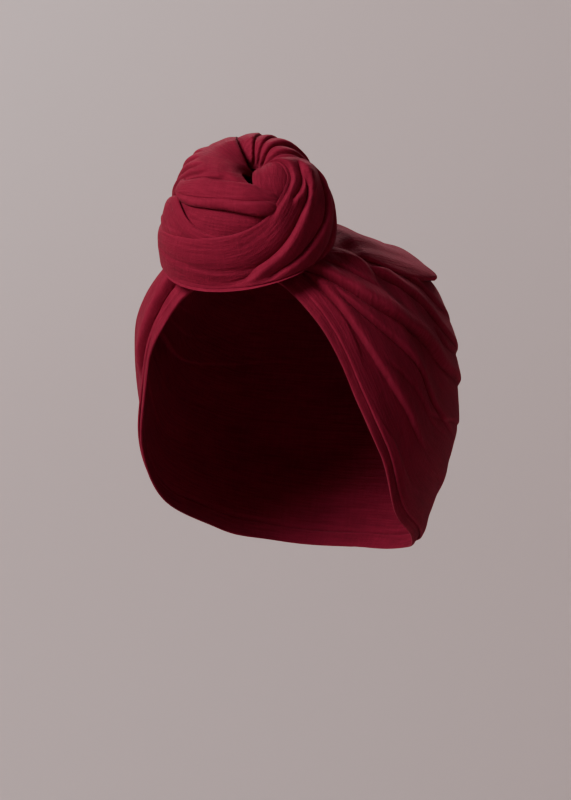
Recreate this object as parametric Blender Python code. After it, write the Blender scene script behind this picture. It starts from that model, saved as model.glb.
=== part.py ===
"""A turban headwrap: one length of soft cloth laid round the head, a crown fold over the top of the head,
and the two gathered ends wound into a knot above the forehead.

Metres, +Z up. The origin is where the top of the head meets the inside of the wrap. The face opening is
towards -Y, and +X is the wearer's left.

Places on the head are a turn about the vertical, in degrees from the face towards the wearer's left, and a
tilt down from the vertex. Places on the knot are a turn about its own axis and a reach, from 0 at the bottom
of its hollow to 1 where it meets the head. Both take a lift, the distance out from that surface.
"""

import math
from collections import namedtuple

import bpy
import numpy as np

MM = 0.001

# The head that the wrap is made for
HEAD_BREADTH = 152 * MM
FACE_REACH = 94 * MM
BACK_REACH = 98 * MM
CROWN_RISE = 90 * MM
NAPE_FALL = 104 * MM
HEAD_ROUNDNESS = 2.3
TEMPLE_HOLLOW = 6 * MM
TEMPLE_TURN, TEMPLE_WIDTH = 42.0, 22.0
TEMPLE_TILT, TEMPLE_LENGTH = 84.0, 26.0

# The cloth, and how it lies
CLOTH = 2.0 * MM
GAP = 0.4 * MM
GATHER_BULK = 3.0 * MM
GATHER_STATIONS = 1.6
LAP_FROM = 0.74
LAP_TO = 0.84
HEM_WIDTH = 7 * MM
HEM_GAP = 0.5 * MM
INNER_FOLLOW = 0.35
CROWN_CLOTH = 1.8 * MM

# The knot: where it sits on the head, and how its axis leans back from the face and swings to the left
KNOT_TURN = 1.0
KNOT_TILT = 31.0
KNOT_RISE = 8 * MM
KNOT_LEAN = 48.0
KNOT_SWING = 12.0
KNOT_RADIUS = 37 * MM
KNOT_HEIGHT = 51 * MM
KNOT_FOOT = 1.5 * MM
KNOT_SQUASH = 0.4
SEAT_SPARE = 1.4 * MM
KNOT_SEAT = CLOTH + GATHER_BULK + SEAT_SPARE
CROWN_SEAT = CROWN_CLOTH + 2 * GAP
CROWN_SEAT_TILT = 18.0
KNOT_SEAT_TILT = 26.0
CLEAR_EASE = 1.5 * MM
WIND_SWELL = 10 * MM
WIND_EDGE = 2.4 * MM
PLEAT_DEPTH = 2.4 * MM
WIND_GAP = 1.0 * MM
WIND_ROUNDNESS = 2.2

# Mesh steps
WRAP_STEPS = 58
WRAP_ROWS = 16
CROWN_STEPS = 18
KNOT_SIDES = 36
KNOT_RINGS = 16
WIND_COLUMNS = 6
CLOTH_COLOUR = (0.19, 0.012, 0.028, 1.0)
CLOTH_ROUGHNESS = 0.85

# The edges of the wrap from the knot to the back of the head, at even stations along it.
Station = namedtuple("Station", "hem_turn hem_tilt top_turn top_tilt")
LEFT_STATIONS = (
    Station(0.5, 46, 0.5, 28),
    Station(12, 48, 20, 30),
    Station(22, 52, 38, 34),
    Station(34, 63, 52, 36),
    Station(42, 75, 66, 39),
    Station(49, 90, 85, 41),
    Station(58, 107, 103, 42),
    Station(74, 130, 118, 42),
    Station(110, 141, 138, 42),
    Station(145, 143, 159, 42),
    Station(180, 143, 180, 42),
)
RIGHT_STATIONS = (
    Station(0.5, 46, 0.5, 28),
    Station(5, 51, 20, 30),
    Station(14, 59, 38, 34),
    Station(26, 67, 52, 36),
    Station(36, 77, 66, 39),
    Station(44, 90, 85, 41),
    Station(55, 107, 103, 42),
    Station(74, 130, 118, 42),
    Station(110, 141, 138, 42),
    Station(145, 143, 159, 42),
    Station(180, 143, 180, 42),
)

# The folds of the wrap. A place is a share of its breadth from hem to top edge, at three stations. The
# cloth stands up on one side of the crease: below it, or above it where the side is -1. Depth and spread are
# shares of the full fold's.
Fold = namedtuple("Fold", "start start_place middle middle_place end end_place depth spread side")
LEFT_FOLDS = (
    Fold(2.0, 0.18, 3.1, 0.27, 4.6, 0.08, 0.25, 0.5, 1),
    Fold(2.0, 0.33, 4.6, 0.26, 7.2, 0.14, 0.8, 0.75, -1),
    Fold(2.4, 0.28, 4.0, 0.38, 5.2, 0.40, 0.5, 0.6, 1),
    Fold(2.0, 0.45, 4.0, 0.60, 9.0, 0.66, 1.0, 1.1, 1),
    Fold(3.8, 0.50, 5.4, 0.54, 8.2, 0.36, 0.7, 1.0, 1),
    Fold(2.0, 0.60, 4.0, 0.75, 6.4, 0.72, 0.7, 0.75, 1),
    Fold(2.0, 0.82, 3.5, 0.88, 5.4, 0.93, 0.6, 0.65, 1),
)
RIGHT_FOLDS = (
    Fold(2.0, 0.24, 3.2, 0.22, 5.4, 0.12, 0.6, 0.65, 1),
    Fold(2.0, 0.36, 4.4, 0.36, 7.4, 0.24, 0.8, 0.85, 1),
    Fold(2.0, 0.52, 4.0, 0.56, 9.0, 0.60, 1.0, 1.1, 1),
    Fold(2.0, 0.70, 4.4, 0.74, 7.0, 0.78, 0.7, 0.75, 1),
)
FOLD_DEPTH = 5 * MM
FOLD_SPREAD = 12 * MM
CREASE_DIP = 0.35
CREASE_WIDTH = 1.6 * MM
FOLD_FADE = 1.1

# The edge of the crown fold, by the turn from the face. Its back half lies over the wrap.
CrownEdge = namedtuple("CrownEdge", "turn left_tilt right_tilt")
CROWN_EDGE = (
    CrownEdge(0, 30.5, 30.5),
    CrownEdge(20, 32.5, 32.5),
    CrownEdge(38, 36, 36),
    CrownEdge(50, 37, 37),
    CrownEdge(53, 35.6, 35.6),
    CrownEdge(66, 38.2, 38.2),
    CrownEdge(85, 44, 43),
    CrownEdge(100, 46.5, 46),
    CrownEdge(118, 50, 49),
    CrownEdge(150, 52, 51),
    CrownEdge(180, 52.5, 52.5),
)
CROWN_OVER_FROM = 53.0
CROWN_OVER_TO = 66.0
CROWN_RISE_FROM = 0.3
CROWN_RISE_TO = 0.75

# The knot's outline from the bottom of its hollow to its base, in shares of its radius and height.
Ring = namedtuple("Ring", "radius height")
KNOT_PROFILE = (
    Ring(0.00, 0.10),
    Ring(0.08, 0.34),
    Ring(0.22, 0.62),
    Ring(0.44, 0.74),
    Ring(0.72, 0.62),
    Ring(0.93, 0.30),
    Ring(1.00, -0.12),
    Ring(0.93, -0.42),
    Ring(0.64, -0.60),
)

# The winds of the knot. Each row is a place along a wind: one edge, the other edge and the swell between, as
# a share of the full swell. Each wind then has its steps along, its pleats and their share of the full depth.
WindRow = namedtuple("WindRow", "near_turn near_reach far_turn far_reach swell")
OUTER_WIND = (
    WindRow(180, 0.76, 180, 0.86, 0.30),
    WindRow(196, 0.72, 196, 0.86, 0.60),
    WindRow(216, 0.665, 216, 0.87, 0.80),
    WindRow(240, 0.59, 240, 0.84, 0.80),
    WindRow(268, 0.555, 268, 0.84, 0.95),
    WindRow(296, 0.52, 296, 0.84, 0.95),
    WindRow(318, 0.51, 324, 0.84, 0.95),
    WindRow(334, 0.47, 346, 0.81, 1.00),
    WindRow(350, 0.40, 366, 0.71, 0.95),
    WindRow(366, 0.325, 384, 0.51, 0.65),
    WindRow(386, 0.24, 404, 0.33, 0.30),
)
MIDDLE_WIND = (
    WindRow(206, 0.51, 209, 0.535, 0.26),
    WindRow(220, 0.505, 226, 0.56, 0.50),
    WindRow(240, 0.49, 248, 0.56, 0.70),
    WindRow(262, 0.48, 268, 0.54, 0.70),
    WindRow(286, 0.48, 290, 0.515, 0.55),
    WindRow(308, 0.46, 310, 0.49, 0.28),
)
SIDE_FOLD = (
    WindRow(178, 0.62, 178, 0.72, 0.26),
    WindRow(194, 0.53, 194, 0.70, 0.70),
    WindRow(208, 0.55, 212, 0.655, 0.80),
    WindRow(225, 0.58, 230, 0.605, 0.50),
    WindRow(238, 0.578, 240, 0.583, 0.26),
)
INNER_WIND = (
    WindRow(186, 0.46, 186, 0.51, 0.26),
    WindRow(198, 0.42, 202, 0.495, 0.60),
    WindRow(220, 0.37, 222, 0.49, 0.80),
    WindRow(244, 0.345, 244, 0.475, 0.85),
    WindRow(268, 0.335, 268, 0.465, 0.85),
    WindRow(290, 0.34, 290, 0.465, 0.75),
    WindRow(306, 0.36, 309, 0.445, 0.30),
)
CREST_WIND = (
    WindRow(112, 0.84, 160, 0.82, 0.30),
    WindRow(110, 0.72, 168, 0.72, 0.70),
    WindRow(110, 0.60, 174, 0.58, 0.80),
    WindRow(112, 0.49, 180, 0.45, 0.80),
    WindRow(118, 0.39, 194, 0.375, 0.70),
    WindRow(130, 0.30, 222, 0.325, 0.45),
    WindRow(160, 0.24, 236, 0.27, 0.26),
)
REAR_WIND = (
    WindRow(355, 0.85, 465, 0.84, 0.40),
    WindRow(369, 0.76, 467, 0.74, 0.65),
    WindRow(380, 0.64, 467, 0.62, 0.75),
    WindRow(390, 0.52, 468, 0.50, 0.75),
    WindRow(399, 0.41, 472, 0.40, 0.65),
    WindRow(408, 0.32, 480, 0.31, 0.45),
    WindRow(420, 0.24, 490, 0.24, 0.26),
)
TUCKED_END = (
    WindRow(313, 0.455, 318, 0.49, 0.26),
    WindRow(312, 0.41, 331, 0.45, 0.50),
    WindRow(308, 0.35, 346, 0.385, 0.65),
    WindRow(304, 0.29, 360, 0.315, 0.45),
    WindRow(300, 0.23, 374, 0.25, 0.26),
)
Wind = namedtuple("Wind", "rows steps pleats pleat_depth")
WINDS = {
    "outer_wind": Wind(OUTER_WIND, 30, 4, 0.9),
    "middle_wind": Wind(MIDDLE_WIND, 14, 1, 0.0),
    "side_fold": Wind(SIDE_FOLD, 12, 1, 0.0),
    "inner_wind": Wind(INNER_WIND, 16, 2, 0.6),
    "crest_wind": Wind(CREST_WIND, 17, 4, 0.85),
    "rear_wind": Wind(REAR_WIND, 17, 5, 1.0),
    "tucked_end": Wind(TUCKED_END, 12, 1, 0.0),
}


def smooth(rows, share):
    """Values of a table's columns at shares 0 to 1 of its length, through even rows on a smooth curve."""
    table = np.asarray(rows, float)
    last = len(table) - 1
    at = np.clip(np.asarray(share, float), 0, 1) * last
    low = np.minimum(at.astype(int), last - 1)
    part = (at - low)[..., None]
    padded = np.vstack([2 * table[0] - table[1], table, 2 * table[-1] - table[-2]])
    before, start, end, after = (padded[low + step] for step in range(4))
    bend = 2 * before - 5 * start + 4 * end - after
    turn = -before + 3 * start - 3 * end + after
    return 0.5 * (2 * start + (end - before) * part + bend * part**2 + turn * part**3)


def ramp(value, start, end):
    """0 up to the start and 1 from the end, with a smooth rise between."""
    share = np.clip((value - start) / (end - start), 0, 1)
    return share * share * (3 - 2 * share)


def on_head(turn, tilt, lift):
    """Points at a turn and tilt in degrees, lifted off the head form."""
    turn, tilt, lift = np.broadcast_arrays(*(np.asarray(v, float) for v in (turn, tilt, lift)))
    across, down = np.radians(turn), np.radians(tilt)
    way = np.stack([np.sin(down) * np.sin(across), -np.sin(down) * np.cos(across), np.cos(down)], -1)
    half = np.stack(
        [
            np.full(turn.shape, HEAD_BREADTH / 2),
            np.where(way[..., 1] < 0, FACE_REACH, BACK_REACH),
            np.where(way[..., 2] > 0, CROWN_RISE, NAPE_FALL),
        ],
        -1,
    )
    stretch = (np.abs(way) / (half + lift[..., None])) ** HEAD_ROUNDNESS
    radius = stretch.sum(-1) ** (-1 / HEAD_ROUNDNESS)
    return way * (radius - temple_hollow(turn, tilt))[..., None] + np.array([0, 0, -CROWN_RISE])


def temple_hollow(turn, tilt):
    """How far the head form falls in at the temples."""
    around = (np.abs(turn) - TEMPLE_TURN) / TEMPLE_WIDTH
    down = (tilt - TEMPLE_TILT) / TEMPLE_LENGTH
    return TEMPLE_HOLLOW * np.exp(-(around**2) - down**2)


def clear_of_head(points, lift):
    """Points moved out along the line from the head's centre until they clear the cloth on it by lift."""
    centre = np.array([0, 0, -CROWN_RISE])
    offset = points - centre
    length = np.linalg.norm(offset, axis=-1)
    turn = np.degrees(np.arctan2(offset[..., 0], -offset[..., 1]))
    tilt = np.degrees(np.arccos(offset[..., 2] / length))
    seat = CROWN_SEAT + (KNOT_SEAT - CROWN_SEAT) * ramp(tilt, CROWN_SEAT_TILT, KNOT_SEAT_TILT)
    least = np.linalg.norm(on_head(turn, tilt, seat + lift) - centre, axis=-1)
    over = np.clip((length - least) / CLEAR_EASE, -30, 30)
    return centre + offset * ((least + CLEAR_EASE * np.log1p(np.exp(over))) / length)[..., None]


def on_knot(turn, reach, lift):
    """Points at a turn and reach on the knot, lifted off its core."""
    rings, step = np.asarray(KNOT_PROFILE) * (KNOT_RADIUS, KNOT_HEIGHT), 0.01
    radius, height = np.moveaxis(smooth(rings, reach), -1, 0)
    along = smooth(rings, reach + step) - smooth(rings, reach - step)
    along /= np.linalg.norm(along, axis=-1)[..., None]
    radius = radius - lift * along[..., 1]
    height = height + lift * along[..., 0]
    swing, lean, turn = math.radians(KNOT_SWING), math.radians(KNOT_LEAN), np.radians(turn)[..., None]
    axis = np.array([math.sin(swing) * math.cos(lean), -math.cos(swing) * math.cos(lean), math.sin(lean)])
    left = np.array([math.cos(swing), math.sin(swing), 0])
    up = np.cross(axis, left)
    around = np.cos(turn) * left + np.sin(turn) * up
    points = on_head(KNOT_TURN, KNOT_TILT, KNOT_RISE) + radius[..., None] * around + height[..., None] * axis
    return clear_of_head(points, KNOT_FOOT + KNOT_SQUASH * lift)


def make_knot_core():
    """The packed inside of the knot, hollowed at its top and shaped to the wrap beneath it."""
    turn, reach = np.meshgrid(np.arange(KNOT_SIDES) * 360 / KNOT_SIDES, np.linspace(0, 1, KNOT_RINGS + 1)[1:])
    shell = on_knot(turn, reach, np.zeros_like(turn))
    foot = shell[-1].mean(axis=0)
    share = np.linspace(0, 1, KNOT_RINGS // 2)[1:-1, None, None]
    sole = clear_of_head(shell[-1] + (foot - shell[-1]) * share, np.zeros(share.shape[:1] + (KNOT_SIDES,)))
    tip = on_knot(np.zeros(1), np.zeros(1), np.zeros(1))
    base = clear_of_head(foot[None], np.zeros(1))
    points = np.concatenate([tip, shell.reshape(-1, 3), sole.reshape(-1, 3), base])
    rings = len(shell) + len(sole)
    faces = []
    for side in range(KNOT_SIDES):
        after = (side + 1) % KNOT_SIDES
        faces.append((0, 1 + side, 1 + after))
        for ring in range(rings - 1):
            here, out = 1 + ring * KNOT_SIDES, 1 + (ring + 1) * KNOT_SIDES
            faces.append((here + side, out + side, out + after, here + after))
        end = 1 + (rings - 1) * KNOT_SIDES
        faces.append((end + side, len(points) - 1, end + after))
    solid("knot_core", points, faces)


def make_wind(name, wind):
    """One wind of the knot, pleated along its length and rounded down to its edges."""
    columns = max(WIND_COLUMNS, 2 * wind.pleats)
    length, across = np.meshgrid(
        np.linspace(0, 1, wind.steps + 1), np.linspace(0, 1, columns + 1), indexing="ij"
    )
    near_turn, near_reach, far_turn, far_reach, swell = np.moveaxis(smooth(wind.rows, length), -1, 0)
    turn = near_turn + (far_turn - near_turn) * across
    reach = near_reach + (far_reach - near_reach) * across
    dome = (1 - np.abs(2 * across - 1) ** WIND_ROUNDNESS) ** (1 / WIND_ROUNDNESS)
    pleat = PLEAT_DEPTH * wind.pleat_depth * np.abs(np.cos(np.pi * wind.pleats * across)) * dome * (wind.pleats > 1)
    lift = WIND_GAP + WIND_EDGE + np.maximum(swell * WIND_SWELL - WIND_EDGE, 0) * dome - pleat
    slab(name, on_knot(turn, reach, lift), on_knot(turn, reach, np.full_like(lift, WIND_GAP)))


def slab(name, outer, inner):
    """A closed solid between two grids of points, with walls round their edge."""
    rows, columns = outer.shape[:2]
    points = np.concatenate([outer.reshape(-1, 3), inner.reshape(-1, 3)])
    below = rows * columns
    faces = []
    for row in range(rows - 1):
        for column in range(columns - 1):
            a = row * columns + column
            b, c, d = a + 1, a + columns + 1, a + columns
            faces.append((a, b, c, d))
            faces.append((below + d, below + c, below + b, below + a))
    edge = [column for column in range(columns)]
    edge += [row * columns + columns - 1 for row in range(1, rows)]
    edge += [(rows - 1) * columns + column for column in range(columns - 2, -1, -1)]
    edge += [row * columns for row in range(rows - 2, 0, -1)]
    for one, two in zip(edge, edge[1:] + edge[:1]):
        faces.append((two, one, below + one, below + two))
    return solid(name, points, faces)


def solid(name, points, faces):
    """A mesh object whose faces all point out."""
    mesh = bpy.data.meshes.new(name)
    mesh.from_pydata([tuple(point) for point in points], [], faces)
    mesh.validate()
    mesh.update()
    corners = np.array([mesh.vertices[i].co for face in mesh.loop_triangles for i in face.vertices])
    if signed_volume(corners) < 0:
        mesh.flip_normals()
    mesh.shade_smooth()
    mesh.set_sharp_from_angle(angle=math.radians(50))
    mesh.materials.append(cloth_material())
    piece = bpy.data.objects.new(name, mesh)
    bpy.context.scene.collection.objects.link(piece)
    return piece


def signed_volume(corners):
    """Six times the volume inside triangles given as rows of corners, below zero if they face in."""
    a, b, c = corners[0::3], corners[1::3], corners[2::3]
    return float((a * np.cross(b, c)).sum())


def cloth_material():
    """The one cloth that the whole wrap is made of."""
    material = bpy.data.materials.get("cloth")
    if material is None:
        material = bpy.data.materials.new("cloth")
        material.use_nodes = True
        shader = material.node_tree.nodes["Principled BSDF"]
        shader.inputs["Base Color"].default_value = CLOTH_COLOUR
        shader.inputs["Roughness"].default_value = CLOTH_ROUGHNESS
        shader.inputs["Metallic"].default_value = 0.0
    return material


def wrap_place(side, station, place):
    """Turn and tilt on the head of a place on the wrap, from 0 at the hem to 1 at the top edge."""
    stations = LEFT_STATIONS if side > 0 else RIGHT_STATIONS
    hem_turn, hem_tilt, top_turn, top_tilt = np.moveaxis(smooth(stations, station / (len(stations) - 1)), -1, 0)
    turn = hem_turn + (top_turn - hem_turn) * place
    tilt = hem_tilt + (top_tilt - hem_tilt) * place
    return side * turn, tilt


def breadth_at(side, station):
    """The wrap's breadth over the head, from its hem to its top edge."""
    hem = on_head(*wrap_place(side, station, np.zeros_like(station)), 0.0)
    top = on_head(*wrap_place(side, station, np.ones_like(station)), 0.0)
    return np.linalg.norm(top - hem, axis=-1)


def through_three(fold, station):
    """A fold's place at a station, on the curve through its three places."""
    a, b, c = fold.start, fold.middle, fold.end
    at = np.clip(station, a, c)
    first = fold.start_place * (at - b) * (at - c) / ((a - b) * (a - c))
    second = fold.middle_place * (at - a) * (at - c) / ((b - a) * (b - c))
    third = fold.end_place * (at - a) * (at - b) / ((c - a) * (c - b))
    return first + second + third


def relief(side, station, place):
    """How far the folds lift the cloth at a station and place."""
    height = np.zeros(np.broadcast(station, place).shape)
    breadth = breadth_at(side, station)
    for fold in LEFT_FOLDS if side > 0 else RIGHT_FOLDS:
        away = (place - through_three(fold, station)) * breadth * fold.side
        shown = np.clip((station - fold.start + 0.5) / FOLD_FADE, 0, 1) * np.clip((fold.end - station) / FOLD_FADE, 0, 1)
        crest = np.exp(np.minimum(away, 0) / (FOLD_SPREAD * fold.spread)) / (1 + np.exp(np.clip(away / CREASE_WIDTH * 4, -40, 40)))
        dip = CREASE_DIP * np.exp(-np.abs(away - CREASE_WIDTH) / CREASE_WIDTH)
        height += FOLD_DEPTH * fold.depth * shown * (crest - dip)
    return height


def make_wrap():
    """The cloth round the head, from the knot round the nape and back to the knot, and its turned hem."""
    last = len(LEFT_STATIONS) - 1
    station = np.linspace(-last, last, WRAP_STEPS + 1)
    around = last - np.abs(station)
    side = np.where(station < 0, 1, -1)
    for name, rows in (("head_wrap", np.linspace(0, 1, WRAP_ROWS + 1)), ("front_hem", np.linspace(0, 1, 3))):
        outer = np.empty((len(station), len(rows), 3))
        inner = np.empty_like(outer)
        for row, (at, which) in enumerate(zip(around, side)):
            at_all = np.full(len(rows), at)
            hem = HEM_WIDTH / breadth_at(which, at_all)
            first = (HEM_WIDTH + HEM_GAP) / breadth_at(which, at_all)
            places = first + (1 - first) * rows if name == "head_wrap" else hem * rows
            turn, tilt = wrap_place(which, at_all, places)
            lift = relief(which, at_all, places) * (name == "head_wrap")
            lap = (CROWN_CLOTH + GAP) * ramp(places, LAP_FROM, LAP_TO) * (1 - over_wrap(turn))
            inside = INNER_FOLLOW * np.maximum(lift, 0) + lap
            bulk = GATHER_BULK * np.exp(-((at / GATHER_STATIONS) ** 2))
            outer[row] = on_head(turn, tilt, CLOTH + np.maximum(bulk, lap) + lift)
            inner[row] = on_head(turn, tilt, inside)
        slab(name, outer, inner)


def over_wrap(turn):
    """Where the crown fold's edge lies over the wrap: 0 at the front and 1 at the back."""
    return ramp(np.abs(turn), CROWN_OVER_FROM, CROWN_OVER_TO)


def crown_edge(turn):
    """Tilt of the crown fold's edge at a turn."""
    turns = [row.turn for row in CROWN_EDGE]
    left = np.interp(np.abs(turn), turns, [row.left_tilt for row in CROWN_EDGE])
    right = np.interp(np.abs(turn), turns, [row.right_tilt for row in CROWN_EDGE])
    return np.where(turn > 0, left, right)


def make_crown():
    """The fold of cloth over the top of the head."""
    steps = np.linspace(-1, 1, CROWN_STEPS + 1)
    a, b = np.meshgrid(steps, steps, indexing="ij")
    x, y = a * np.sqrt(1 - b**2 / 2), b * np.sqrt(1 - a**2 / 2)
    turn = np.degrees(np.arctan2(x, -y))
    share = np.hypot(x, y)
    tilt = crown_edge(turn) * share
    under = over_wrap(turn) * ramp(share, CROWN_RISE_FROM, CROWN_RISE_TO) * (CLOTH + GAP)
    slab("crown_fold", on_head(turn, tilt, under + CROWN_CLOTH), on_head(turn, tilt, under))


for old in list(bpy.data.objects):
    bpy.data.objects.remove(old)
make_wrap()
make_crown()
make_knot_core()
for wind_name, wind in WINDS.items():
    make_wind(wind_name, wind)
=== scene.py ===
# %% [markdown]
# # A turban headwrap, dressed over its frame
#
# The real object is one long soft cloth. It is laid round the head, and its two gathered ends are wound
# into a knot above the forehead. The frame that this file loads has one plain solid for each stretch of
# cloth that can be told apart, and every solid has its right place and size.
#
# Here each solid gets its cloth. The frame could be shaded as it is, but it would look like carved wax:
# cloth shows itself in thin edges, in creases with one steep side, and in threads. So each stretch is made
# again as a fine sheet that follows the same surface, and the plain solid is hidden behind it.

import math
from collections import namedtuple

import bpy
import numpy as np
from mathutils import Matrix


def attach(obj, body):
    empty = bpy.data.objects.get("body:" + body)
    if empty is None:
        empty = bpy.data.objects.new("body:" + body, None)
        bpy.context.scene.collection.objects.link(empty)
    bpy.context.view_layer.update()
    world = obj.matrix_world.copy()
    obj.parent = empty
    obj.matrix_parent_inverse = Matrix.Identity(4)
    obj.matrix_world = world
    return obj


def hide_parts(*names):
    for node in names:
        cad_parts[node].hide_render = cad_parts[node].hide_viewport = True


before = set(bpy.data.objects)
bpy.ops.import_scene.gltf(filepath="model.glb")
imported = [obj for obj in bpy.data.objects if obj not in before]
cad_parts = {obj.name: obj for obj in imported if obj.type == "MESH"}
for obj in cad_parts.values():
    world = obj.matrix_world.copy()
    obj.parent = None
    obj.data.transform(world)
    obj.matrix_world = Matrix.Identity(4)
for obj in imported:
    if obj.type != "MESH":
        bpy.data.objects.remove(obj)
for chosen in bpy.context.selected_objects:
    chosen.select_set(False)
MM = 0.001
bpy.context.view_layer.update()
print("frame:", sorted(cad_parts))

# %% [markdown]
# ## The head form
#
# Nothing here is flat, so a sheet can't be drawn in plain X, Y and Z. Each place on the head is a turn
# about the vertical, in degrees from the face towards the wearer's left, and a tilt down from the top of
# the head. A third number, the lift, is the distance out from the head. The form itself is a rounded box
# between an ellipsoid and a block, which is close to a real head above the ears. Its temples fall in, and
# the cloth also sinks a little behind the knot and at the nape, where nothing holds it out.

# %% The sizes of the head, and a way to find a point on it
HEAD_BREADTH = 152 * MM
FACE_REACH = 94 * MM
BACK_REACH = 98 * MM
CROWN_RISE = 90 * MM
NAPE_FALL = 104 * MM
HEAD_ROUNDNESS = 2.3
HEAD_CENTRE = np.array([0, 0, -CROWN_RISE])
Hollow = namedtuple("Hollow", "turn width tilt length depth")
HOLLOWS = (
    Hollow(42, 22, 84, 26, 6 * MM),
    Hollow(130, 45, 28, 12, 5.0 * MM),
    Hollow(128, 40, 124, 16, 4 * MM),
    Hollow(118, 34, 82, 26, 1.8 * MM),
)


def on_head(turn, tilt, lift):
    """Points at a turn and tilt in degrees, lifted off the head form."""
    turn, tilt, lift = np.broadcast_arrays(*(np.asarray(v, float) for v in (turn, tilt, lift)))
    across, down = np.radians(turn), np.radians(tilt)
    way = np.stack([np.sin(down) * np.sin(across), -np.sin(down) * np.cos(across), np.cos(down)], -1)
    half = np.stack(
        [
            np.full(turn.shape, HEAD_BREADTH / 2),
            np.where(way[..., 1] < 0, FACE_REACH, BACK_REACH),
            np.where(way[..., 2] > 0, CROWN_RISE, NAPE_FALL),
        ],
        -1,
    )
    stretch = (np.abs(way) / (half + lift[..., None])) ** HEAD_ROUNDNESS
    radius = stretch.sum(-1) ** (-1 / HEAD_ROUNDNESS)
    return way * (radius - hollow_depth(turn, tilt))[..., None] + HEAD_CENTRE


def hollow_depth(turn, tilt):
    """How far the cloth falls in at the temples, behind the knot and at the nape."""
    depth = np.zeros(np.shape(turn))
    for hollow in HOLLOWS:
        around = (np.abs(turn) - hollow.turn) / hollow.width
        down = (tilt - hollow.tilt) / hollow.length
        depth = depth + hollow.depth * np.exp(-(around**2) - down**2)
    return depth


print("top of the head form:", on_head(0, 0, 0).round(3))

# %% [markdown]
# ## Smooth numbers
#
# The cloth is described by short tables, a row for each place along it. `smooth` draws a curve through
# the rows, so that a few rows give a flowing edge, and `ramp` goes softly from 0 to 1.
# `ripple` adds the small unevenness that no cloth is without. It could be Blender's own noise texture, but
# a sum of a few waves whose directions and phases come from a seed is quicker over a whole sheet, and it
# comes out the same on each run.


# %% Curves, ramps and ripples
def smooth(rows, share):
    """Values of a table's columns at shares 0 to 1 of its length, through even rows on a smooth curve."""
    table = np.asarray(rows, float)
    last = len(table) - 1
    at = np.clip(np.asarray(share, float), 0, 1) * last
    low = np.minimum(at.astype(int), last - 1)
    part = (at - low)[..., None]
    padded = np.vstack([2 * table[0] - table[1], table, 2 * table[-1] - table[-2]])
    before, start, end, after = (padded[low + step] for step in range(4))
    bend = 2 * before - 5 * start + 4 * end - after
    turn = -before + 3 * start - 3 * end + after
    return 0.5 * (2 * start + (end - before) * part + bend * part**2 + turn * part**3)


def ramp(value, start, end):
    """0 up to the start and 1 from the end, with a smooth rise between."""
    share = np.clip((value - start) / (end - start), 0, 1)
    return share * share * (3 - 2 * share)


RIPPLE_WAVES = 14
RIPPLE_LEAST, RIPPLE_MOST = 0.6, 1.8


def ripple(along, across, long_wave, short_wave, seed):
    """Uneven waves from -1 to 1 over a flat cloth, long in one direction and short in the other."""
    dice = np.random.default_rng(seed)
    total = np.zeros(np.broadcast(along, across).shape)
    for _ in range(RIPPLE_WAVES):
        lengths = np.array([long_wave, short_wave]) * dice.uniform(RIPPLE_LEAST, RIPPLE_MOST, 2)
        lean = dice.uniform(-1, 1)
        total += np.sin(2 * math.pi * (along / lengths[0] * lean + across / lengths[1] + dice.uniform()))
    return total / math.sqrt(RIPPLE_WAVES / 2) / 2


print("ripple at one place:", round(float(ripple(0.01, 0.02, 0.06, 0.008, 1)), 3))

# %% [markdown]
# ## Creases
#
# A crease in draped cloth isn't a groove. The cloth climbs gently to the fold, rolls over, and drops at
# once, often past the upright, so one side is lit and the other is a thin dark line. `Fold` names one such
# crease: three places that it runs through, how deep it is, how wide its gentle side is, and which side
# stands up. `fold_over` gives two numbers for each point of the sheet, its height and its push sideways.
# The push is what makes the fold hang over: with height alone, the steep side would look like a step.

# %% Folds
Fold = namedtuple("Fold", "start start_place middle middle_place end end_place depth spread side")
FOLD_DEPTH = 4.2 * MM
FOLD_SPREAD = 12 * MM
FOLD_FADE = 1.1
CREASE_DIP = 0.30
CREASE_WIDTH = 1.3 * MM
ROLL_PUSH = 1.9 * MM
ROLL_WIDTH = 1.7 * MM
DROP_SHARPNESS = 4
DROP_LIMIT = 40
CROWD_SAMPLES = 501
CROWD_AT_FOLD = 2.2
CROWD_EDGE = 0.05


def through_three(fold, station):
    """A fold's place at a station, on the curve through its three places."""
    a, b, c = fold.start, fold.middle, fold.end
    at = np.clip(station, a, c)
    first = fold.start_place * (at - b) * (at - c) / ((a - b) * (a - c))
    second = fold.middle_place * (at - a) * (at - c) / ((b - a) * (b - c))
    third = fold.end_place * (at - a) * (at - b) / ((c - a) * (c - b))
    return first + second + third


def fold_strength(fold, station, fade):
    """1 along a fold, and 0 past its ends."""
    return ramp(station, fold.start - fade / 2, fold.start + fade / 2) * ramp(fold.end - station, 0, fade)


def fold_over(folds, station, place, breadth, fade=FOLD_FADE, depth=FOLD_DEPTH, spread=FOLD_SPREAD):
    """The height that the folds give the cloth, and how far they push it across."""
    height = np.zeros(np.broadcast(station, place).shape)
    push = np.zeros_like(height)
    for fold in folds:
        away = (place - through_three(fold, station)) * breadth * fold.side
        strength = fold.depth * fold_strength(fold, station, fade)
        crest = np.exp(np.minimum(away, 0) / (spread * fold.spread))
        drop = np.clip(away / CREASE_WIDTH * DROP_SHARPNESS, -DROP_LIMIT, DROP_LIMIT)
        crest /= 1 + np.exp(drop)
        dip = CREASE_DIP * np.exp(-np.abs(away - CREASE_WIDTH) / CREASE_WIDTH)
        height += depth * strength * (crest - dip)
        push += ROLL_PUSH * fold.side * strength * np.exp(-((away / ROLL_WIDTH) ** 2))
    return height, push


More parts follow.
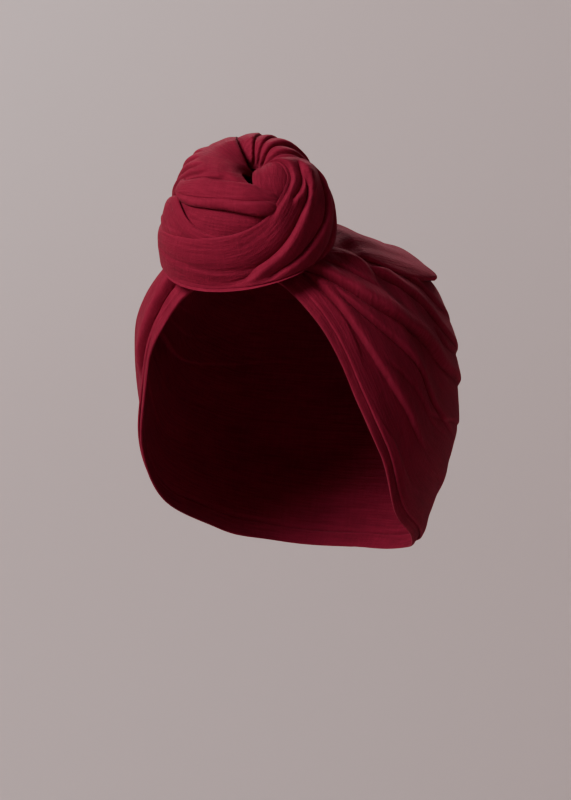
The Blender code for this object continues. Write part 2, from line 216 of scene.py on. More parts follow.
def crowd_rows(folds, station, breadth, count, first=0.0, fade=FOLD_FADE, edges=0.0):
    """Places from first to 1 across the cloth for each station, closer together at creases and edges."""
    share = np.linspace(0, 1, CROWD_SAMPLES)
    fine = first + (1 - first) * share
    density = np.ones((len(station), len(share)))
    for fold in folds:
        away = (fine - through_three(fold, station)[:, None]) * breadth[:, None]
        near = np.exp(-((away / (2 * ROLL_WIDTH)) ** 2))
        density += CROWD_AT_FOLD * near * fold_strength(fold, station, fade)[:, None]
    for edge in (0, 1):
        density += edges * np.exp(-(((share - edge) / CROWD_EDGE) ** 2))
    total = np.cumsum((density[:, 1:] + density[:, :-1]) / 2, axis=1)
    total = np.hstack([np.zeros((len(station), 1)), total]) / total[:, -1:]
    even = np.linspace(0, 1, count)
    crowded = np.array([np.interp(even, row, share) for row in total])
    return first + (1 - first) * crowded


print("fold roll:", ROLL_PUSH / MM, "mm over", ROLL_WIDTH / MM, "mm")

# %% [markdown]
# ## A sheet of cloth
#
# Every sheet starts as Blender's grid, one face thick. Solidify gives it its two sides and its rim, and
# then both sides are moved to their places: the outside follows the folds, and the inside follows the
# head more calmly. The grid's own UV map is set to the flat cloth in metres, so that the threads of the
# weave run along the cloth and keep their size wherever it bends.

# %% The sheet maker
START_WALL = 1 * MM


def make_sheet(name, outer, inner, flat):
    """A cloth piece from two grids of points, with flat giving each point's place on the unrolled cloth."""
    rows, columns = outer.shape[:2]
    bpy.ops.mesh.primitive_grid_add(x_subdivisions=columns - 1, y_subdivisions=rows - 1, size=2)
    piece = bpy.context.object
    piece.name = piece.data.name = name
    mesh = piece.data
    start = np.empty(len(mesh.vertices) * 3)
    mesh.vertices.foreach_get("co", start)
    start = start.reshape(-1, 3)
    column = np.rint((start[:, 0] + 1) / 2 * (columns - 1)).astype(int)
    row = np.rint((start[:, 1] + 1) / 2 * (rows - 1)).astype(int)
    corner = np.empty(len(mesh.loops), int)
    mesh.loops.foreach_get("vertex_index", corner)
    mesh.uv_layers.active.data.foreach_set("uv", flat[row, column][corner].ravel())
    wall = piece.modifiers.new("two sides", "SOLIDIFY")
    wall.thickness = START_WALL
    wall.offset = -1
    bpy.ops.object.modifier_apply(modifier=wall.name)
    shape_piece(piece, np.concatenate([outer[row, column], inner[row, column]]))
    return piece


def shape_piece(piece, places):
    """Moves a piece's points to their places, turns its faces outwards and prints its size."""
    mesh = piece.data
    mesh.vertices.foreach_set("co", places.ravel())
    mesh.update()
    if faces_point_in(mesh):
        mesh.flip_normals()
    mesh.shade_smooth()
    mesh.calc_loop_triangles()
    side = sum(face.area for face in mesh.polygons) / 2
    print(f"{piece.name}: {len(mesh.loop_triangles)} triangles, {side:.5f} square metres a side")


def faces_point_in(mesh):
    """Whether a closed mesh has a volume below zero, as it has when its faces point inwards."""
    mesh.calc_loop_triangles()
    corners = np.empty(len(mesh.loop_triangles) * 3, int)
    mesh.loop_triangles.foreach_get("vertices", corners)
    places = np.empty(len(mesh.vertices) * 3)
    mesh.vertices.foreach_get("co", places)
    a, b, c = places.reshape(-1, 3)[corners].reshape(-1, 3, 3).transpose(1, 0, 2)
    return float((a * np.cross(b, c)).sum()) < 0


def join_sides(right, left):
    """The right side's grids, then the left side's, joined on the row that both have at the back."""
    return [np.concatenate([one, two[::-1][1:]]) for one, two in zip(right, left)]


# %% [markdown]
# ## The broad cloth round the head
#
# This is the largest stretch. It leaves the knot, widens down the side, passes under the nape and comes
# back up the other side. Stations 0 to 10 go from the knot to the middle of the back, each with a place
# on the hem and one on the top edge. The folds fan out from the knot, where all the cloth is gathered into
# a hand's breadth, so they are deep and close there and fade towards the back.

# %% The edges of the wrap
Station = namedtuple("Station", "hem_turn hem_tilt top_turn top_tilt")
LEFT_STATIONS = (
    Station(0.5, 46, 0.5, 28),
    Station(12, 48, 20, 30),
    Station(22, 52, 38, 34),
    Station(34, 63, 52, 36),
    Station(42, 75, 66, 39),
    Station(49, 90, 85, 41),
    Station(58, 107, 103, 42),
    Station(74, 130, 118, 42),
    Station(110, 141, 138, 42),
    Station(145, 143, 159, 42),
    Station(180, 143, 180, 42),
)
ALIKE_FROM = 7
RIGHT_STATIONS = (
    Station(0.5, 46, 0.5, 28),
    Station(7, 49, 20, 30),
    Station(17, 56, 38, 34),
    Station(26, 67, 52, 36),
    Station(36, 77, 66, 39),
    Station(44, 90, 85, 41),
    Station(55, 107, 103, 42),
) + LEFT_STATIONS[ALIKE_FROM:]
LAST_STATION = len(LEFT_STATIONS) - 1
STATION_RUN = 35 * MM


def wrap_place(side, station, place):
    """Turn and tilt on the head of a place on the wrap, from 0 at the hem to 1 at the top edge."""
    stations = LEFT_STATIONS if side > 0 else RIGHT_STATIONS
    hem_turn, hem_tilt, top_turn, top_tilt = np.moveaxis(smooth(stations, station / LAST_STATION), -1, 0)
    turn = hem_turn + (top_turn - hem_turn) * place
    tilt = hem_tilt + (top_tilt - hem_tilt) * place
    return side * turn, tilt


def run_along(side, station):
    """How far a station is along the flat cloth, up the right side and down the left without a jump."""
    return STATION_RUN * (station if side < 0 else 2 * LAST_STATION - station)


def breadth_at(side, station):
    """The wrap's breadth over the head, from its hem to its top edge."""
    hem = on_head(*wrap_place(side, station, np.zeros_like(station)), 0.0)
    top = on_head(*wrap_place(side, station, np.ones_like(station)), 0.0)
    return np.linalg.norm(top - hem, axis=-1)


even_stations = np.arange(LAST_STATION + 1.0)
print("breadth on the left in mm:", (breadth_at(1, even_stations) / MM).round())

# %% The folds of the wrap
LEFT_FOLDS = (
    Fold(2.2, 0.37, 4.6, 0.28, 7.4, 0.26, 0.95, 0.8, -1),
    Fold(2.0, 0.42, 5.0, 0.61, 8.8, 0.52, 1.55, 0.6, -1),
    Fold(3.2, 0.40, 5.6, 0.47, 8.2, 0.34, 0.70, 0.5, -1),
    Fold(3.2, 0.93, 5.8, 0.82, 8.8, 0.62, 0.80, 0.5, -1),
    Fold(5.2, 0.97, 6.6, 0.88, 8.6, 0.72, 0.55, 0.4, -1),
    Fold(1.6, 0.66, 3.0, 0.82, 4.8, 0.95, 0.70, 0.6, 1),
    Fold(1.6, 0.54, 3.0, 0.67, 4.6, 0.74, 0.35, 0.5, -1),
    Fold(2.0, 0.20, 3.2, 0.26, 4.8, 0.12, 0.25, 0.5, 1),
    Fold(5.4, 0.07, 6.8, 0.11, 8.6, 0.18, 0.30, 0.7, 1),
    Fold(5.0, 0.32, 6.6, 0.37, 8.6, 0.28, 0.25, 0.8, -1),
    Fold(6.6, 0.72, 8.2, 0.66, 9.6, 0.70, 0.45, 0.9, -1),
    Fold(6.8, 0.38, 8.4, 0.42, 9.6, 0.36, 0.45, 0.9, -1),
)
RIGHT_FOLDS = (
    Fold(1.2, 0.32, 2.6, 0.22, 5.2, 0.12, 1.10, 0.8, -1),
    Fold(1.5, 0.36, 4.4, 0.36, 7.4, 0.24, 0.80, 0.85, 1),
    Fold(1.5, 0.52, 4.0, 0.56, 9.4, 0.60, 1.00, 1.1, 1),
    Fold(1.5, 0.70, 4.4, 0.74, 7.2, 0.78, 0.70, 0.75, 1),
    Fold(1.5, 0.44, 3.0, 0.48, 5.0, 0.46, 0.35, 0.45, 1),
    Fold(1.5, 0.84, 3.4, 0.88, 5.8, 0.92, 0.50, 0.6, 1),
    Fold(4.0, 0.64, 6.2, 0.68, 9.0, 0.72, 0.40, 0.8, 1),
    Fold(5.0, 0.46, 7.0, 0.44, 9.6, 0.36, 0.35, 0.7, -1),
)
CLOTH = 2.0 * MM
GAP = 0.4 * MM
GATHER_BULK = 3.0 * MM
GATHER_STATIONS = 1.6
LAP_FROM = 0.74
LAP_TO = 0.84
HEM_WIDTH = 5 * MM
INNER_FOLLOW = 0.35
CROWN_CLOTH = 1.8 * MM
CROWN_OVER_FROM = 53.0
CROWN_OVER_TO = 66.0


def over_wrap(turn):
    """Where the crown fold's edge lies over the wrap: 0 at the front and 1 at the back."""
    return ramp(np.abs(turn), CROWN_OVER_FROM, CROWN_OVER_TO)


print("folds on the left and right:", len(LEFT_FOLDS), len(RIGHT_FOLDS))

# %% [markdown]
# The sheet is worked out one side at a time and then joined at the back, where both sides meet on the same
# line. Along the cloth it needs few steps, because the folds run that way. Across, it needs many, and
# `crowd_rows` spends them where a crease is.

# %% Make the wrap
WRAP_COLUMNS = 340
WRAP_ROWS = 132
GATHER_WAVES = 11
GATHER_DEPTH = 0.8 * MM
GATHER_SWAY = 0.03
GATHER_FADE = 2.6
GATHER_FROM, GATHER_FULL = 0.1, 0.2
SLACK_DEPTH = 0.7 * MM
SLACK_WAVES = (0.12, 0.022)
WRAP_SEED = 3
ROUND_OVER = 1.6 * MM
EDGE_THINNED = 0.6
EDGE_CALM = 6 * MM
WRAP_WALL = 1.3 * MM
WRAP_THICKEST = 4 * MM
LAP_SPARE = 0.3 * MM
CROWDED_AT_KNOT = 1.15
HEM_CLOTH = 1.4 * MM
HEM_TUCK = 3 * MM
EDGE_STEP = 1.1 * MM
EDGE_STEP_FADE = 5 * MM
BACK_CALM = 0.65
BACK_STATIONS = (5.5, 9.0)
JOIN_STATIONS = (9.2, 10.0)
MEAN_TAKEN_FRONT, MEAN_TAKEN_BACK = 0.2, 0.9
STEP_FROM, STEP_FULL = 3.5, 6.5
STEP_LEAST = 0.1


def rounded(to_edge, reach=ROUND_OVER):
    """From 1 inside a sheet down to 0 at its edge, on a quarter circle."""
    return np.sqrt(np.clip(1 - (1 - np.clip(to_edge / reach, 0, 1)) ** 2, 0, 1))


def knot_bulk(station):
    """How far the gathered layers near the knot lift the cloth."""
    return GATHER_BULK * np.exp(-((station / GATHER_STATIONS) ** 2))


def gathers(station, place):
    """How deep the fine gathers next to the knot are."""
    swayed = place + GATHER_SWAY * np.sin(3 * station + 9 * place)
    wave = np.abs(np.cos(math.pi * GATHER_WAVES * swayed))
    fading = np.exp(-((station / GATHER_FADE) ** 2))
    return GATHER_DEPTH * (1 - wave) * fading * ramp(place, GATHER_FROM, GATHER_FULL)


def wrap_side(side, station):
    """The wrap on one side as its outer points, inner points and flat places, a row for each station."""
    folds = LEFT_FOLDS if side > 0 else RIGHT_FOLDS
    breadth = breadth_at(side, station)
    first = (HEM_WIDTH / breadth)[:, None]
    place = crowd_rows(folds, station, breadth, WRAP_ROWS, first=first, edges=2.0)
    station, breadth = station[:, None], breadth[:, None]
    height, push = fold_over(folds, station, place, breadth)
    joined = 1 - ramp(station, *JOIN_STATIONS)
    easing = (1 - BACK_CALM * ramp(station, *BACK_STATIONS)) * joined
    height, push = height * easing, push * easing
    taken = MEAN_TAKEN_FRONT + (MEAN_TAKEN_BACK - MEAN_TAKEN_FRONT) * ramp(station, *BACK_STATIONS)
    height = height - taken * height.mean(axis=1, keepdims=True)
    turn, tilt = wrap_place(side, station, place)
    along = run_along(side, station)
    slack = SLACK_DEPTH * ripple(along, place * breadth, *SLACK_WAVES, WRAP_SEED + side) * joined
    to_hem, to_top = (place - first) * breadth, (1 - place) * breadth
    calm = ramp(np.minimum(to_hem, to_top), 0, EDGE_CALM)
    stepped = STEP_LEAST + (1 - STEP_LEAST) * ramp(station, STEP_FROM, STEP_FULL)
    step = EDGE_STEP * np.exp(-to_hem / EDGE_STEP_FADE) * stepped
    lap = (CROWN_CLOTH + GAP) * ramp(place, LAP_FROM, LAP_TO) * (1 - over_wrap(turn))
    lift = CLOTH + np.maximum(knot_bulk(station), lap) + step + (height + slack) * calm
    lift = np.maximum(lift - gathers(station, place), lap + WRAP_WALL + LAP_SPARE)
    edge = (1 - rounded(np.minimum(to_hem, to_top))) * WRAP_WALL * EDGE_THINNED
    outer = on_head(*wrap_place(side, station, place + push / breadth), lift - edge)
    under = np.maximum(INNER_FOLLOW * np.maximum(height, 0) + lap, lift - WRAP_THICKEST)
    over_hem = (lift - WRAP_WALL) * (1 - ramp(to_hem, HEM_TUCK, 2 * HEM_TUCK))
    under = np.minimum(np.maximum(under, over_hem), lift - WRAP_WALL)
    inner = on_head(turn, tilt, under)
    flat = np.stack([along + 0 * place, place * breadth], -1)
    return outer, inner, flat


half = LAST_STATION * np.linspace(0, 1, WRAP_COLUMNS // 2 + 1) ** CROWDED_AT_KNOT
wrap_cloth = make_sheet("wrap_cloth", *join_sides(wrap_side(-1, half), wrap_side(1, half)))

# %% [markdown]
# ## The turned hem
#
# The edge round the face is turned in and lies flat on the head, so it is a narrow band of two thin layers.
# The wrap above it stands a little proud and laps over the band's upper edge. A bevel on the wrap could
# suggest this, but a band of its own gives the real thin shadow between the two.

# %% Make the hem
HEM_COLUMNS = 420
HEM_ROWS = 22
HEM_CROWDED = 1.5
HEM_SEAT = 0.15 * MM
HEM_WAVER = 0.25 * MM
HEM_WAVES = (0.03, 0.02)
HEM_SEED = 17


def hem_side(side, station):
    """The hem on one side as its outer points, inner points and flat places."""
    breadth = breadth_at(side, station)[:, None]
    width = (HEM_WIDTH + HEM_TUCK) / breadth
    place = width * np.linspace(0, 1, HEM_ROWS) ** HEM_CROWDED
    station = station[:, None]
    along = run_along(side, station)
    to_edge = np.minimum(place, width - place) * breadth
    waver = HEM_WAVER * ripple(along, place * breadth, *HEM_WAVES, HEM_SEED + side)
    lift = HEM_CLOTH + knot_bulk(station) + waver
    lift = lift - (1 - rounded(to_edge)) * HEM_CLOTH * EDGE_THINNED
    turn, tilt = wrap_place(side, station, place)
    flat = np.stack([along + 0 * place, place * breadth], -1)
    return on_head(turn, tilt, lift), on_head(turn, tilt, HEM_SEAT + 0 * place), flat


half_hem = LAST_STATION * np.linspace(0, 1, HEM_COLUMNS // 2 + 1)
hem_cloth = make_sheet("hem_cloth", *join_sides(hem_side(-1, half_hem), hem_side(1, half_hem)))

# %% [markdown]
# ## The fold over the crown
#
# One smooth fold covers the top of the head. Its front half is tucked below the wrap's top edge, and its
# back half lies over the wrap and ends in a soft corner behind the left ear. A round cap would pinch at
# its pole, so a square grid is bent into a disc instead, which has no pole at all.

# %% Make the crown fold
CrownEdge = namedtuple("CrownEdge", "turn left_tilt right_tilt")
CROWN_EDGE = (
    CrownEdge(0, 30.5, 30.5),
    CrownEdge(20, 32.5, 32.5),
    CrownEdge(38, 36, 36),
    CrownEdge(50, 37, 37),
    CrownEdge(53, 36.6, 36.6),
    CrownEdge(60, 38.1, 38.1),
    CrownEdge(66, 39.4, 39.4),
    CrownEdge(85, 44, 43),
    CrownEdge(100, 46.5, 46),
    CrownEdge(118, 50, 49),
    CrownEdge(150, 52, 51),
    CrownEdge(180, 52.5, 52.5),
)
CROWN_RISE_FROM = 0.3
CROWN_RISE_TO = 0.75
CROWN_STEPS = 200
CROWN_SLACK = 0.5 * MM
CROWN_WAVES = (0.09, 0.016)
CROWN_SEED = 31
CROWN_CALM = 5 * MM
CROWN_THINNED = 0.5
CORNER_TURN, CORNER_WIDTH = 120.0, 13.0
CORNER_FROM = 0.8
CORNER_LIFT = 2.2 * MM
CROWN_REACH = 60 * MM


def crown_edge(turn):
    """Tilt of the crown fold's edge at a turn."""
    turns = [row.turn for row in CROWN_EDGE]
    left = np.interp(np.abs(turn), turns, [row.left_tilt for row in CROWN_EDGE])
    right = np.interp(np.abs(turn), turns, [row.right_tilt for row in CROWN_EDGE])
    return np.where(turn > 0, left, right)


def on_disc(a, b):
    """The place on a disc of a place on a square, with both from -1 to 1."""
    return a * np.sqrt(1 - b**2 / 2), b * np.sqrt(1 - a**2 / 2)


def make_crown():
    """The fold over the crown, a square grid bent into a disc."""
    steps = np.linspace(-1, 1, CROWN_STEPS + 1)
    x, y = on_disc(*np.meshgrid(steps, steps, indexing="ij"))
    turn, share = np.degrees(np.arctan2(x, -y)), np.hypot(x, y)
    tilt = crown_edge(turn) * share
    to_edge = (1 - share) * CROWN_REACH
    flat = np.stack([y, x], -1) * CROWN_REACH
    under = over_wrap(turn) * ramp(share, CROWN_RISE_FROM, CROWN_RISE_TO) * (CLOTH + GAP)
    corner = np.exp(-(((turn - CORNER_TURN) / CORNER_WIDTH) ** 2))
    under += CORNER_LIFT * corner * ramp(share, CORNER_FROM, 1)
    slack = CROWN_SLACK * ripple(flat[..., 0], flat[..., 1], *CROWN_WAVES, CROWN_SEED)
    top = under + CROWN_CLOTH + slack * ramp(to_edge, 0, CROWN_CALM)
    top = top - (1 - rounded(to_edge)) * CROWN_CLOTH * CROWN_THINNED
    return make_sheet("crown_cloth", on_head(turn, tilt, top), on_head(turn, tilt, under), flat)


crown_cloth = make_crown()

# %% [markdown]
# ## The knot's own surface
#
# The knot is wound round an axis that leans back from the face. A place on it is a turn about that axis
# and a reach, from 0 at the bottom of the hollow in its middle to 1 where it meets the head. The hollow
# isn't central, so the rings near it are shifted to one side. Wherever the knot would dip into the head,
# `clear_of_head` moves it out until it rests on the cloth below.

# %% The sizes of the knot, and a way to find a point on it
KNOT_TURN = 1.0
KNOT_TILT = 31.0
KNOT_RISE = 8 * MM
KNOT_LEAN = 48.0
KNOT_SWING = 12.0
KNOT_RADIUS = 37 * MM
KNOT_HEIGHT = 51 * MM
KNOT_FOOT = 1.5 * MM
KNOT_SQUASH = 0.4
HOLLOW_TURN, HOLLOW_SHIFT = 28.0, 7.5 * MM
HOLLOW_FROM, HOLLOW_TO = 0.15, 0.62
SEAT_SPARE = 1.4 * MM
KNOT_SEAT = CLOTH + GATHER_BULK + SEAT_SPARE
CROWN_SEAT = CROWN_CLOTH + 2 * GAP
CROWN_SEAT_TILT = 18.0
KNOT_SEAT_TILT = 26.0
CLEAR_EASE = 1.5 * MM
CLEAR_LIMIT = 30
REACH_STEP = 0.01
Ring = namedtuple("Ring", "radius height")
KNOT_PROFILE = (
    Ring(0.00, 0.10),
    Ring(0.08, 0.34),
    Ring(0.22, 0.62),
    Ring(0.44, 0.74),
    Ring(0.72, 0.62),
    Ring(0.93, 0.30),
    Ring(1.00, -0.12),
    Ring(0.93, -0.42),
    Ring(0.64, -0.60),
)


def clear_of_head(points, lift):
    """Points moved out along the line from the head's centre until they clear the cloth on it by lift."""
    offset = points - HEAD_CENTRE
    length = np.linalg.norm(offset, axis=-1)
    turn = np.degrees(np.arctan2(offset[..., 0], -offset[..., 1]))
    tilt = np.degrees(np.arccos(offset[..., 2] / length))
    seat = CROWN_SEAT + (KNOT_SEAT - CROWN_SEAT) * ramp(tilt, CROWN_SEAT_TILT, KNOT_SEAT_TILT)
    least = np.linalg.norm(on_head(turn, tilt, seat + lift) - HEAD_CENTRE, axis=-1)
    over = np.clip((length - least) / CLEAR_EASE, -CLEAR_LIMIT, CLEAR_LIMIT)
    eased = least + CLEAR_EASE * np.log1p(np.exp(over))
    return HEAD_CENTRE + offset * (eased / length)[..., None]


def on_knot(turn, reach, lift):
    """Points at a turn and reach on the knot, lifted off its core."""
    rings = np.asarray(KNOT_PROFILE) * (KNOT_RADIUS, KNOT_HEIGHT)
    radius, height = np.moveaxis(smooth(rings, reach), -1, 0)
    along = smooth(rings, reach + REACH_STEP) - smooth(rings, reach - REACH_STEP)
    along /= np.linalg.norm(along, axis=-1)[..., None]
    radius = radius - lift * along[..., 1]
    height = height + lift * along[..., 0]
    swing, lean, turn = math.radians(KNOT_SWING), math.radians(KNOT_LEAN), np.radians(turn)[..., None]
    axis = np.array([math.sin(swing) * math.cos(lean), -math.cos(swing) * math.cos(lean), math.sin(lean)])
    left = np.array([math.cos(swing), math.sin(swing), 0])
    up = np.cross(axis, left)
    around = np.cos(turn) * left + np.sin(turn) * up
    hollow_turn = math.radians(HOLLOW_TURN)
    beside = math.cos(hollow_turn) * left + math.sin(hollow_turn) * up
    shift = HOLLOW_SHIFT * (1 - ramp(reach, HOLLOW_FROM, HOLLOW_TO))
    points = on_head(KNOT_TURN, KNOT_TILT, KNOT_RISE) + shift[..., None] * beside
    points = points + radius[..., None] * around + height[..., None] * axis
    return clear_of_head(points, KNOT_FOOT + KNOT_SQUASH * lift)


foremost = on_knot(np.array(270.0), np.array(0.7), np.array(0.0))
print("foremost place of the knot in mm:", (foremost / MM).round(1))

# %% [markdown]
# ## The winds of the knot
#
# The gathered cloth comes round the front as one wide band, narrows as it climbs the right side, and turns
# over into the hollow. Inside it a creased stretch crosses the lip, a smooth end is tucked in, a dome
# stands at the left, and the last gathers run back over the top. Each wind is a table: a row for each
# place along it, with its two edges and the swell between them. Its folds are set out like the wrap's.

# %% The rows of each wind
Row = namedtuple("Row", "near_turn near_reach far_turn far_reach swell near_lift far_lift")
OUTER_WIND = (
    Row(170, 0.665, 172, 0.785, 0.55, 0.20, 0.05),
    Row(192, 0.655, 190, 0.795, 1.05, 0.60, 0.05),
    Row(216, 0.610, 213, 0.800, 1.15, 0.78, 0.05),
    Row(240, 0.578, 238, 0.800, 1.08, 0.78, 0.05),
    Row(262, 0.560, 266, 0.795, 1.02, 0.72, 0.05),
    Row(284, 0.544, 294, 0.790, 1.00, 0.68, 0.05),
    Row(302, 0.524, 320, 0.785, 1.00, 0.66, 0.05),
    Row(318, 0.492, 343, 0.770, 1.00, 0.70, 0.05),
    Row(331, 0.470, 362, 0.730, 0.98, 0.72, 0.10),
    Row(343, 0.450, 378, 0.645, 0.94, 0.70, 0.20),
    Row(350, 0.415, 386, 0.565, 0.90, 0.66, 0.30),
    Row(353, 0.375, 377, 0.480, 0.82, 0.58, 0.40),
    Row(350, 0.335, 368, 0.395, 0.62, 0.40, 0.35),
    Row(340, 0.300, 350, 0.325, 0.35, 0.20, 0.20),
)
MIDDLE_WIND = (
    Row(190, 0.500, 190, 0.62, 0.30, 0.15, 0.25),
    Row(208, 0.485, 206, 0.62, 0.54, 0.35, 0.38),
    Row(226, 0.465, 224, 0.61, 0.62, 0.42, 0.40),
    Row(244, 0.450, 242, 0.61, 0.64, 0.42, 0.40),
    Row(262, 0.445, 262, 0.60, 0.64, 0.42, 0.40),
    Row(280, 0.455, 280, 0.59, 0.62, 0.40, 0.40),
    Row(295, 0.475, 295, 0.58, 0.58, 0.36, 0.38),
    Row(310, 0.500, 310, 0.55, 0.42, 0.30, 0.30),
)
SIDE_FOLD = (
    Row(172, 0.620, 170, 0.700, 0.35, 0.20, 0.15),
    Row(190, 0.560, 186, 0.690, 0.74, 0.40, 0.30),
    Row(206, 0.512, 202, 0.668, 0.90, 0.62, 0.34),
    Row(219, 0.516, 214, 0.645, 0.94, 0.70, 0.36),
    Row(233, 0.534, 228, 0.616, 0.90, 0.72, 0.38),
    Row(249, 0.552, 244, 0.596, 0.82, 0.68, 0.38),
    Row(266, 0.562, 262, 0.586, 0.68, 0.54, 0.38),
)
INNER_WIND = (
    Row(182, 0.490, 184, 0.535, 0.40, 0.20, 0.25),
    Row(199, 0.460, 205, 0.520, 0.82, 0.50, 0.52),
    Row(218, 0.408, 227, 0.498, 0.98, 0.72, 0.68),
    Row(238, 0.392, 248, 0.480, 1.02, 0.80, 0.74),
    Row(260, 0.384, 268, 0.478, 1.02, 0.80, 0.74),
    Row(281, 0.388, 286, 0.494, 1.00, 0.76, 0.72),
    Row(298, 0.400, 300, 0.515, 0.92, 0.58, 0.60),
    Row(314, 0.440, 314, 0.530, 0.78, 0.40, 0.45),
    Row(328, 0.475, 326, 0.520, 0.42, 0.25, 0.28),
)
CREST_WIND = (
    Row(98, 0.82, 166, 0.80, 0.30, 0.10, 0.10),
    Row(98, 0.71, 176, 0.71, 0.48, 0.25, 0.20),
    Row(100, 0.60, 184, 0.61, 0.50, 0.30, 0.25),
    Row(104, 0.50, 192, 0.52, 0.52, 0.34, 0.25),
    Row(110, 0.42, 206, 0.445, 0.64, 0.44, 0.28),
    Row(115, 0.35, 232, 0.402, 0.86, 0.60, 0.28),
    Row(121, 0.28, 258, 0.390, 0.98, 0.70, 0.28),
    Row(146, 0.20, 280, 0.392, 0.96, 0.62, 0.28),
    Row(190, 0.13, 298, 0.395, 0.70, 0.25, 0.25),
)
REAR_WIND = (
    Row(352, 0.83, 464, 0.82, 0.30, 0.10, 0.10),
    Row(362, 0.74, 466, 0.73, 0.45, 0.20, 0.20),
    Row(368, 0.63, 468, 0.62, 0.48, 0.25, 0.25),
    Row(370, 0.53, 472, 0.53, 0.46, 0.25, 0.28),
    Row(364, 0.45, 480, 0.45, 0.42, 0.18, 0.28),
    Row(358, 0.38, 486, 0.38, 0.38, 0.12, 0.28),
    Row(346, 0.31, 490, 0.31, 0.36, 0.10, 0.24),
    Row(332, 0.24, 500, 0.24, 0.30, 0.05, 0.16),
)
TUCKED_END = (
    Row(300, 0.440, 316, 0.530, 0.42, 0.25, 0.15),
    Row(298, 0.405, 330, 0.510, 0.62, 0.40, 0.18),
    Row(298, 0.370, 344, 0.485, 0.74, 0.48, 0.20),
    Row(302, 0.330, 356, 0.450, 0.78, 0.46, 0.20),
    Row(312, 0.290, 364, 0.405, 0.70, 0.34, 0.18),
    Row(328, 0.240, 366, 0.350, 0.45, 0.12, 0.10),
)
print("winds: 7, rows in the longest:", len(OUTER_WIND))

# %% The folds of each wind
OUTER_FOLDS = (
    Fold(1.6, 0.36, 4.0, 0.45, 5.8, 0.54, 0.25, 1.6, -1),
    Fold(1.8, 0.93, 3.8, 0.86, 6.4, 0.84, 0.90, 0.6, -1),
    Fold(4.6, 0.60, 7.0, 0.36, 10.2, 0.50, 1.00, 1.1, -1),
    Fold(5.2, 0.64, 7.4, 0.62, 10.0, 0.88, 0.90, 1.0, -1),
    Fold(7.6, 0.17, 8.8, 0.30, 10.6, 0.52, 0.80, 0.7, -1),
    Fold(6.4, 0.07, 8.8, 0.11, 12.0, 0.30, 0.70, 0.6, -1),
    Fold(6.4, 0.80, 7.8, 0.80, 9.4, 0.90, 0.40, 0.8, -1),
)
SIDE_FOLDS = (Fold(0.4, 0.58, 2.2, 0.62, 4.6, 0.56, 0.16, 1.4, -1),)
INNER_FOLDS = (Fold(0.6, 0.92, 3.4, 0.87, 7.4, 0.62, 0.80, 0.9, -1),)
CREST_FOLDS = (
    Fold(0.0, 0.50, 2.6, 0.51, 4.4, 0.46, 0.55, 1.1, 1),
    Fold(0.0, 0.62, 2.8, 0.64, 4.6, 0.58, 0.70, 0.9, 1),
    Fold(0.0, 0.73, 3.0, 0.75, 5.0, 0.68, 0.70, 0.8, 1),
    Fold(0.0, 0.83, 3.2, 0.85, 5.4, 0.77, 0.70, 0.6, 1),
    Fold(0.0, 0.92, 3.6, 0.92, 6.6, 0.84, 0.70, 0.6, 1),
    Fold(0.0, 0.34, 2.8, 0.34, 4.6, 0.30, 0.15, 1.4, 1),
)
REAR_FOLDS = (
    Fold(1.4, 0.10, 3.6, 0.11, 7.0, 0.14, 0.90, 0.8, -1),
    Fold(0.0, 0.29, 3.2, 0.25, 7.0, 0.28, 0.60, 0.9, -1),
    Fold(2.0, 0.37, 4.2, 0.42, 7.0, 0.46, 1.00, 0.9, -1),
    Fold(0.4, 0.60, 3.2, 0.56, 7.0, 0.60, 0.70, 1.1, -1),
    Fold(2.2, 0.77, 3.8, 0.72, 7.0, 0.76, 0.90, 0.9, -1),
)
Wind = namedtuple("Wind", "node rows folds columns across roundness seed")
WINDS = (
    Wind("outer_wind", OUTER_WIND, OUTER_FOLDS, 340, 120, 3.0, 41),
    Wind("middle_wind", MIDDLE_WIND, (), 160, 56, 3.0, 42),
    Wind("side_fold", SIDE_FOLD, SIDE_FOLDS, 130, 56, 3.0, 43),
    Wind("inner_wind", INNER_WIND, INNER_FOLDS, 190, 70, 2.8, 44),
    Wind("crest_wind", CREST_WIND, CREST_FOLDS, 190, 130, 2.5, 45),
    Wind("rear_wind", REAR_WIND, REAR_FOLDS, 170, 130, 2.8, 46),
    Wind("tucked_end", TUCKED_END, (), 120, 60, 3.0, 47),
)
print("folds in the knot:", sum(len(wind.folds) for wind in WINDS))

# %% [markdown]
# Each wind is a sheet whose two edges curl down to the core. Its inside stays just off the core, so every
# wind is a roll that is open inside, as wound cloth is.

# %% Make the winds
WIND_SWELL = 10 * MM
WIND_FOLD_DEPTH = 3.4 * MM
WIND_FOLD_SPREAD = 6 * MM
WIND_FADE = 0.9
WIND_EDGES = 6.0
WIND_SLACK = 0.35 * MM
WIND_WAVES = (0.05, 0.014)
WIND_WALL = 1.1 * MM
WIND_LEAST = 0.5 * MM
WIND_FULL_BREADTH = 18 * MM
BREADTH_STEPS = 13
FLAT_APART = 0.37
STATION_LENGTH = 14 * MM


